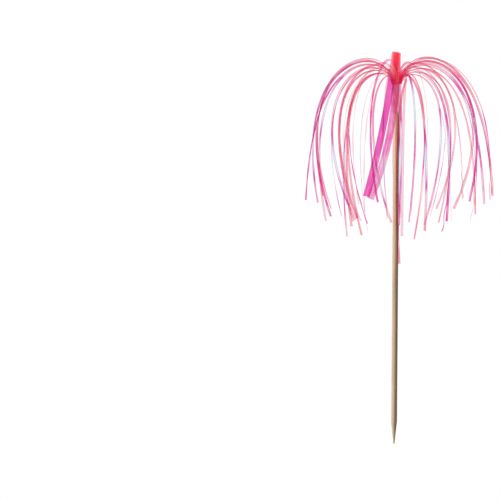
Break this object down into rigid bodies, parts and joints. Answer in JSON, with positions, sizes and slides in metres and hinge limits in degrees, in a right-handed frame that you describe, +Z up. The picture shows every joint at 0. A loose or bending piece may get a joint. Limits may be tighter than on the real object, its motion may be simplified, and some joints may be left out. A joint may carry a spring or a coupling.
{
  "type": "firework cocktail pick",
  "caption": "Pointed bamboo pick with a roll of clear pink film round its top, slit into streamers that arch out and hang like a firework.",
  "frame": {"origin": "the sharp end of the stick, on its axis", "axes": "+Z up the stick to the film, -Y to the front, where the two wide ribbons hang, +X to the right as seen from the front"},
  "size_m": [0.094, 0.0637, 0.1962],
  "materials": {
    "bamboo": "plain sawn and turned bamboo, unvarnished",
    "rolled_film": "clear crimson film in several turns, glossy",
    "film": "clear pink iridescent film, glossy"
  },
  "bodies": {
    "root": {"stick": "bamboo", "film_band": "rolled_film", "wide_ribbon_inner": "film", "wide_ribbon_outer": "film", "streamer_01": "film", "streamer_02": "film", "streamer_03": "film", "streamer_04": "film", "streamer_05": "film", "streamer_06": "film", "streamer_07": "film", "streamer_08": "film", "streamer_09": "film", "streamer_10": "film", "streamer_11": "film", "streamer_12": "film", "streamer_13": "film", "streamer_14": "film", "streamer_15": "film", "streamer_16": "film", "streamer_17": "film", "streamer_18": "film", "streamer_19": "film", "streamer_20": "film", "streamer_21": "film", "streamer_22": "film", "streamer_23": "film", "streamer_24": "film", "streamer_25": "film", "streamer_26": "film", "streamer_27": "film", "streamer_28": "film", "streamer_29": "film", "streamer_30": "film", "streamer_31": "film", "streamer_32": "film", "streamer_33": "film", "streamer_34": "film", "streamer_35": "film", "streamer_36": "film", "streamer_37": "film", "streamer_38": "film", "streamer_39": "film", "streamer_40": "film", "streamer_41": "film", "streamer_42": "film", "streamer_43": "film", "streamer_44": "film", "streamer_45": "film", "streamer_46": "film", "streamer_47": "film", "streamer_48": "film"}
  },
  "joints": []
}
